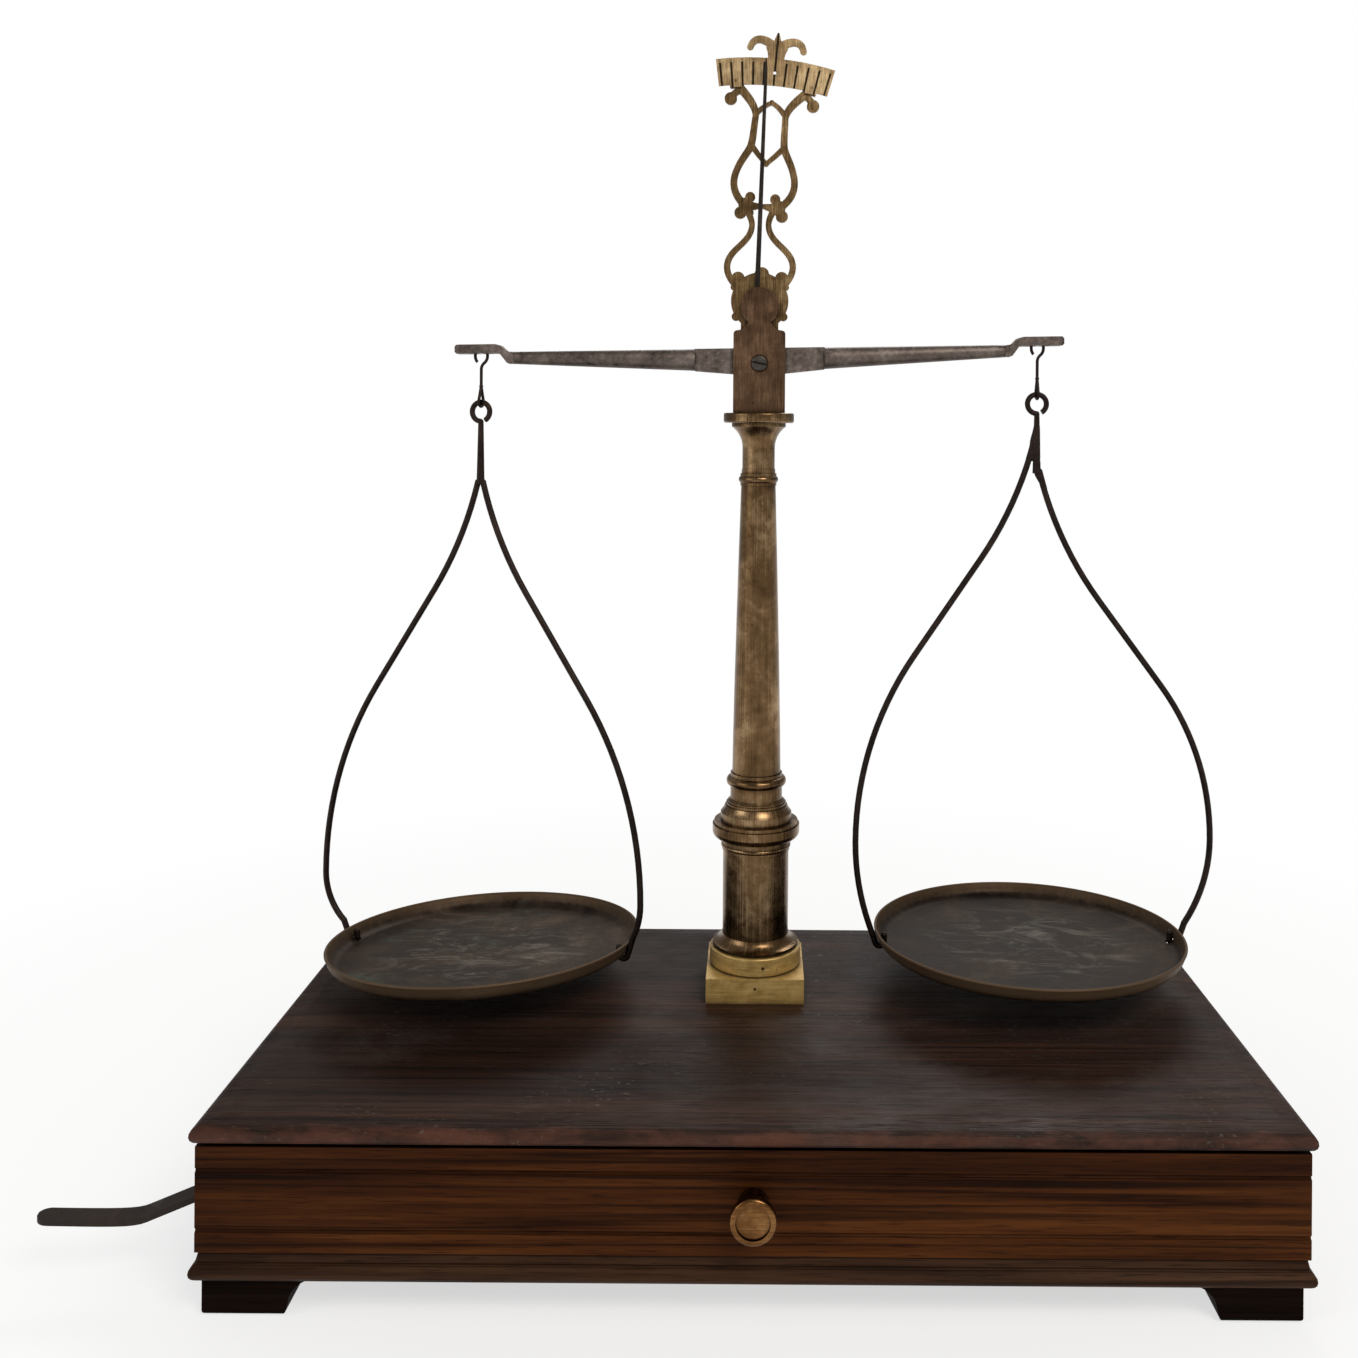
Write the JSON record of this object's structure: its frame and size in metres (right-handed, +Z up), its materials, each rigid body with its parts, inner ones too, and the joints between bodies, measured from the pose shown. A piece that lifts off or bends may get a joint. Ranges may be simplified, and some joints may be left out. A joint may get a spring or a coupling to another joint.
{
  "type": "beam balance",
  "caption": "antique equal-arm counter balance: turned brass column on a wooden drawer box, fretted index above an iron beam, two hanging brass pans and a side lever",
  "frame": {"origin": "on the table plane straight below the column's axis", "axes": "+X to the viewer's right along the beam, -Y towards the drawer front, +Z up; the beam hangs as in the picture, right end slightly up"},
  "size_m": [0.5518, 0.2431, 0.5846],
  "materials": {
    "top_wood": "nearly black polished mahogany with grey bloom",
    "front_wood": "red-brown polished mahogany, horizontal grain",
    "side_wood": "red-brown mahogany, darker than the front",
    "base_wood": "dark mahogany moulding",
    "foot_wood": "nearly black stained wood",
    "inner_wood": "plain unpolished inner wood",
    "column_brass": "aged lacquered brass with turned streaks",
    "plinth_brass": "aged brass, brighter flats",
    "cheek_brass": "dark brown patinated brass",
    "index_brass": "bronze-brown cast brass, dark edges",
    "scale_brass": "aged brass, black filled marks",
    "knob_brass": "bright rubbed brass",
    "beam_iron": "dark grey-brown iron, worn",
    "wire_iron": "dark brown-black iron wire",
    "lever_iron": "dark brown iron strip",
    "knife_steel": "ground steel",
    "pointer_iron": "dark iron needle",
    "rod_steel": "plain oiled steel",
    "screw_iron": "darkened slotted screw",
    "pan_brass": "dark patinated brass, grey and green smears, lighter rim"
  },
  "bodies": {
    "case": {"foot_front_left": "foot_wood", "foot_front_right": "foot_wood", "foot_back_left": "foot_wood", "foot_back_right": "foot_wood", "base_board": "base_wood", "side_left": "side_wood", "side_right": "side_wood", "back_board": "side_wood", "top_board": "top_wood", "drawer_partition": "inner_wood", "bearing_front": "lever_iron", "bearing_rear": "lever_iron", "column_plinth": "plinth_brass", "column_drum": "plinth_brass", "column_pedestal": "column_brass", "column_shaft": "column_brass", "column_capital": "column_brass", "column_nut": "column_brass"},
    "drawer": {"drawer_front": "front_wood", "drawer_side_left": "inner_wood", "drawer_side_right": "inner_wood", "drawer_back": "inner_wood", "drawer_bottom": "inner_wood", "drawer_rosette": "knob_brass", "drawer_knob": "knob_brass"},
    "lever": {"rock_shaft": "rod_steel", "lever_handle": "lever_iron", "lifting_arm": "rod_steel"},
    "head": {"lifting_rod": "rod_steel", "rod_foot": "column_brass", "head_block": "column_brass", "front_cheek": "cheek_brass", "rear_cheek": "cheek_brass", "cheek_screw": "screw_iron", "index_frame": "index_brass", "index_scale": "scale_brass", "index_rivets": "index_brass"},
    "beam": {"beam": "beam_iron", "centre_knife": "knife_steel", "left_end_knife": "knife_steel", "right_end_knife": "knife_steel", "pointer": "pointer_iron"},
    "left_hook": {"left_hook": "wire_iron"},
    "right_hook": {"right_hook": "wire_iron"},
    "left_bow": {"left_bow": "wire_iron"},
    "right_bow": {"right_bow": "wire_iron"},
    "left_pan": {"left_pan": "pan_brass"},
    "right_pan": {"right_pan": "pan_brass"}
  },
  "joints": [
    {"name": "drawer_slide", "type": "slide", "parent": "case", "child": "drawer", "axis": [0, -1, 0], "range_m": [0, 0.09]},
    {"name": "head_lift", "type": "slide", "parent": "case", "child": "head", "axis": [0, 0, 1], "range_m": [0, 0.012]},
    {"name": "lever_turn", "type": "hinge", "parent": "case", "child": "lever", "pos_m": [-0.2174, -0.112, 0.0455], "axis": [0, -1, 0], "range_deg": [0, 3.16]},
    {"name": "beam_swing", "type": "hinge", "parent": "head", "child": "beam", "pos_m": [0, 0, 0.41962], "axis": [0, 1, 0], "range_deg": [-1.3, 3.7]},
    {"name": "left_hook_swing", "type": "hinge", "parent": "beam", "child": "left_hook", "pos_m": [-0.14644, 0, 0.41525], "axis": [0, 1, 0], "range_deg": [-2, 2]},
    {"name": "left_bow_swing", "type": "hinge", "parent": "left_hook", "child": "left_bow", "pos_m": [-0.14644, 0, 0.38705], "axis": [0.9613, -0.2756, 0], "range_deg": [-2.5, 2.5]},
    {"name": "left_pan_tip", "type": "hinge", "parent": "left_bow", "child": "left_pan", "pos_m": [-0.1423, -0.00119, 0.10027], "axis": [0.9599, -0.2752, 0.0541], "range_deg": [-1, 4]},
    {"name": "right_hook_swing", "type": "hinge", "parent": "beam", "child": "right_hook", "pos_m": [0.14649, 0, 0.42139], "axis": [0, 1, 0], "range_deg": [-2, 2]},
    {"name": "right_bow_swing", "type": "hinge", "parent": "right_hook", "child": "right_bow", "pos_m": [0.14649, 0, 0.39319], "axis": [0.9986, 0.0523, 0], "range_deg": [-2.5, 2.5]},
    {"name": "right_pan_tip", "type": "hinge", "parent": "right_bow", "child": "right_pan", "pos_m": [0.14347, -0.00016, 0.10439], "axis": [0.9986, 0.0523, -0.0052], "range_deg": [-2, 3]}
  ],
  "couplings": [
    {"joint": "lever_turn", "follows": "head_lift", "rad_per_m": 4.5998}
  ]
}
